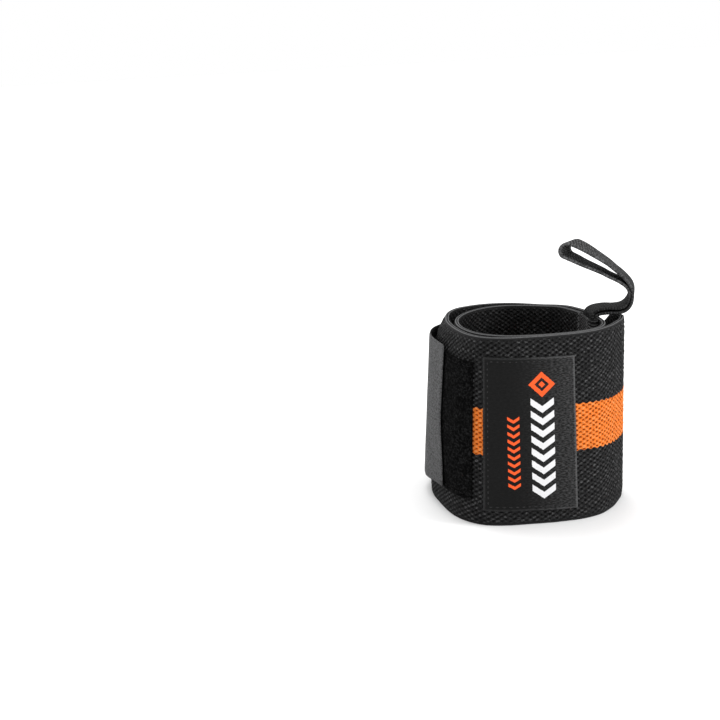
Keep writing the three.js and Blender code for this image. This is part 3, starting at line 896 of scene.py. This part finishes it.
# The thumb loop: a tape up out of the hem, over the rim, and round a long eye.
loopLook = {
    "width": 10.5, "thickness": 1.15, "inset": 2, "rootDepth": 7, "freeRise": 3,
    "reach": 17.4, "rise": 27, "heading": 10, "eye": 2.9, "step": 0.45, "rootOut": 1.6,
    "ribPitch": 1.3, "ribHeight": 0.07, "ribPoints": 22, "ribMargin": 0.3, "edgeRound": 0.08,
    "chevron": 1.25, "bendSteps": 18,
    "cloth": grey(0.006), "clothLight": grey(0.034), "clothTopHighlight": grey(0.11), "edge": grey(0.11),
}
loopRows = [
    (0.013, 0.037, 0, 0.05), (0.115, 0.074, 2, 0.1), (0.34, 0.091, 5, 0.15),
    (0.577, 0.085, 8, 0.12), (0.755, 0.115, 12, 0.1), (0.875, 0.193, 16, 0.08),
    (0.93, 0.311, 20, 0.02), (0.9, 0.43, 22, 0.03), (0.735, 0.55, 22, 0.24),
    (0.46, 0.677, 22, 0.55), (0.31, 0.747, 24, 0.68), (-0.09, 0.9, 32, 0.95),
    (-0.28, 0.972, 37, 1), (-0.44, 1.025, 40, 1),
]  # shares of reach and rise, turn in degrees, share of the eye's half width


def tapeMaterial():
    look = loopLook
    shader = Shader("loop tape")
    along, across, high = shader.place()
    fibre = shader.noise(shader.vector(along, across), 1.7, 3.0)
    zigzag = (across / look["ribPitch"]).math("PINGPONG", 1.0)
    chevron = ((along + zigzag * 1.1) / look["chevron"]).math("FRACT").smooth(0.65, 0.3)
    worn = shader.noise(shader.vector(along, across, along * 0.4), 0.7, 4.0).smooth(0.34, 0.6)
    light = chevron * fibre.smooth(0.3, 0.62) * (0.4 + worn * 0.8)
    # The light threads grow lighter toward the top of the loop, a painted highlight.
    bright = shader.blend(high.smooth(0.4, 1.0), look["clothLight"], look["clothTopHighlight"])
    colour = shader.blend(light, look["cloth"], bright)
    border = across.math("ABSOLUTE").smooth(look["width"] / 2 - 1, look["width"] / 2)
    # The lighter border also grows toward the top of the loop, a painted highlight.
    border = border * fibre.smooth(0.3, 0.6) * (0.35 + worn * 0.65) * high.smooth(-0.2, 0.9)
    colour = shader.blend(border, colour, look["edge"])
    normal = shader.bump(chevron * 0.6 + fibre * 0.9 + worn * 0.4, 0.4)
    return shader.finish(colour, 0.8, 0.15, normal)


def headingOf(line):
    along = np.gradient(line, axis=0)
    return along / np.linalg.norm(along, axis=1, keepdims=True)


# The tape's middle line, out along one leg, round the eye and back along the other. Each point
# has a distance out from the rim, a rise over it, a turn and the rise of its place on the leg.
def loopLine():
    look = loopLook
    halfPair = (rollSizes["tapeThickness"] + rollSizes["clearance"]) / 2
    rows = [(0, -look["rootDepth"], 0, halfPair), (0, 0, 0, halfPair)]
    for side, rise, turn, spread in loopRows:
        wide = halfPair + spread * (look["eye"] - halfPair)
        rows.append((side * look["reach"], rise * look["rise"], turn, wide))
    rows = np.array(rows)
    gaps = np.sqrt(np.linalg.norm(np.diff(rows[:, :2], axis=0), axis=1))
    marks = np.concatenate([[0], np.cumsum(gaps)])
    curves = [curveThrough(np.stack([marks, rows[:, i]], -1)) for i in range(4)]
    dense = np.linspace(0, marks[-1], 2000)
    track = np.stack([curves[0](dense), curves[1](dense)], -1)
    run = np.concatenate([[0], np.cumsum(np.linalg.norm(np.diff(track, axis=0), axis=1))])
    at = np.interp(np.linspace(0, run[-1], int(run[-1] / look["step"])), run, dense)
    middle = np.stack([curves[0](at), curves[1](at)], -1)
    heading = headingOf(middle)
    normal = np.stack([heading[:, 1], -heading[:, 0]], -1)
    turn, spread = curves[2](at), curves[3](at)
    tip = np.linspace(0, np.pi, look["bendSteps"])[1:-1, None]
    bend = middle[-1] + spread[-1] * (normal[-1] * np.cos(tip) + heading[-1] * np.sin(tip))
    line = np.vstack([
        middle + normal * spread[:, None], bend, (middle - normal * spread[:, None])[::-1]
    ])
    turns = np.concatenate([turn, np.full(len(bend), turn[-1]), turn[::-1]])
    legRise = np.concatenate([middle[:, 1], np.full(len(bend), look["rise"]), middle[::-1, 1]])
    return line, turns, legRise


# The tape's section, as (place across, lift): rounded edges, and fine ribs along it.
def tapeSection():
    look = loopLook
    half, thick = look["width"] / 2, look["thickness"] / 2
    inner, rounded = half - look["ribMargin"], half - look["edgeRound"]
    flats = np.linspace(inner, -inner, look["ribPoints"])
    ribs = look["ribHeight"] * np.cos(2 * np.pi * flats / look["ribPitch"])
    section = [(x, thick + rib) for x, rib in zip(flats, ribs)]
    section += [(-rounded, thick * 0.6), (-half, 0), (-rounded, -thick * 0.6)]
    section += [(x, -thick - rib) for x, rib in zip(flats[::-1], ribs)]
    section += [(rounded, -thick * 0.6), (half, 0), (rounded, thick * 0.6)]
    return np.array(section)


# Turns a level direction clockwise, seen from above.
def clockwise(direction, degrees):
    turned = np.radians(degrees)
    x = direction[0] * np.cos(turned) + direction[1] * np.sin(turned)
    y = direction[1] * np.cos(turned) - direction[0] * np.sin(turned)
    return np.stack([x, y, np.zeros(np.shape(turned))], -1)


# The tape follows the band inside the hem, and its own line above the rim.
def makeLoop():
    look = loopLook
    width, rootOut = rollSizes["bandWidth"], look["rootOut"]
    line, turns, legRise = loopLine()
    along = headingOf(line)
    face = np.stack([along[:, 1], -along[:, 0]], -1)
    section = tapeSection()
    rootLength = look["inset"] + look["width"] / 2
    near = bandPath.wall(look["inset"], width, rootOut)
    far = bandPath.wall(look["inset"] + look["width"], width, rootOut)
    root = bandPath.wall(rootLength, width, rootOut)
    across = (far - near) / np.linalg.norm(far - near)
    outward = clockwise(np.array([across[1], -across[0], 0]), look["heading"])
    wide = clockwise(across, turns)
    above = smoothstep(legRise, 0, look["freeRise"])[:, None]
    points = np.zeros((len(line), len(section), 3))
    for j, (place, lift) in enumerate(section):
        out, rise = (line + face * lift).T
        inHem = bandPath.wall(rootLength + place, width + rise, rootOut + out)
        free = root + outward * out[:, None] + wide * place
        free = free + np.array([0, 0, 1]) * rise[:, None]
        points[:, j] = mix(inHem, free, above)
    length = np.concatenate([[0], np.cumsum(np.linalg.norm(np.diff(line, axis=0), axis=1))])
    high = line[:, 1:] / look["rise"]
    place = np.stack(np.broadcast_arrays(length[:, None], section[None, :, 0], high), -1)
    faces = tubeFaces(len(line), len(section))
    name, material = "thumb_loop_tape", tapeMaterial()
    tape = addPiece(name, points, faces, place, material, "thumb_loop")
    print("loop tape", round(length[-1], 1), "mm long")


makeLoop()


# The floor, the light and the camera.
stageLook = {
    "floorReach": 30, "floor": (0.86, 0.86, 0.86, 1), "world": 1.0,
    "cameraFromRoll": (-72.216, -480.834, 182.588), "pitch": 14, "roll": -3.203, "lens": 60,
    "aim": (0, 0, 0.04),
    "suns": [("key", (1.3, -0.35, 0.6), 2.6, 25), ("top", (-0.2, 0.6, 1.2), 1.6, 40)],
}  # each sun: name, place in metres, strength, spread in degrees


def makeStage():
    look = stageLook
    reach = look["floorReach"]
    mesh = bpy.data.meshes.new("floor")
    corners = [(-reach, -reach, 0), (reach, -reach, 0), (reach, reach, 0), (-reach, reach, 0)]
    mesh.from_pydata(corners, [], [(0, 1, 2, 3)])
    floor = bpy.data.objects.new("floor", mesh)
    bpy.context.scene.collection.objects.link(floor)
    shader = Shader("pale floor")
    mesh.materials.append(shader.finish(look["floor"], 0.9))
    world = bpy.data.worlds.new("studio")
    bpy.context.scene.world = world
    world.use_nodes = True
    background = world.node_tree.nodes["Background"]
    background.inputs["Color"].default_value = (1, 1, 1, 1)
    background.inputs["Strength"].default_value = look["world"]


def makeSuns():
    for name, place, strength, spread in stageLook["suns"]:
        light = bpy.data.lights.new(name, "SUN")
        light.energy = strength
        light.angle = np.radians(spread)
        lamp = bpy.data.objects.new(name, light)
        lamp.location = place
        down = Vector(stageLook["aim"]) - Vector(place)
        lamp.rotation_euler = down.to_track_quat("-Z", "Y").to_euler()
        bpy.context.scene.collection.objects.link(lamp)


def makeCamera():
    look = stageLook
    camera = bpy.data.objects.new("camera", bpy.data.cameras.new("camera"))
    camera.data.sensor_width = 36  # millimetres, as the lens is
    camera.data.lens = look["lens"]
    pitch, roll = np.radians(look["pitch"]), np.radians(look["roll"])
    forward = np.array([0, np.cos(pitch), -np.sin(pitch)])
    level = np.array([1.0, 0, 0])
    above = np.cross(level, forward)
    right = np.cos(roll) * level + np.sin(roll) * above
    up = -np.sin(roll) * level + np.cos(roll) * above
    place = (np.array(look["cameraFromRoll"]) + rollMiddle) * metre
    turned = Matrix([(right[i], up[i], -forward[i], place[i]) for i in range(3)] + [(0, 0, 0, 1)])
    camera.matrix_world = turned
    bpy.context.scene.collection.objects.link(camera)
    bpy.context.scene.camera = camera


makeStage()
makeSuns()
makeCamera()
bpy.context.scene.view_settings.view_transform = "Standard"
print("stage, lights and camera set")
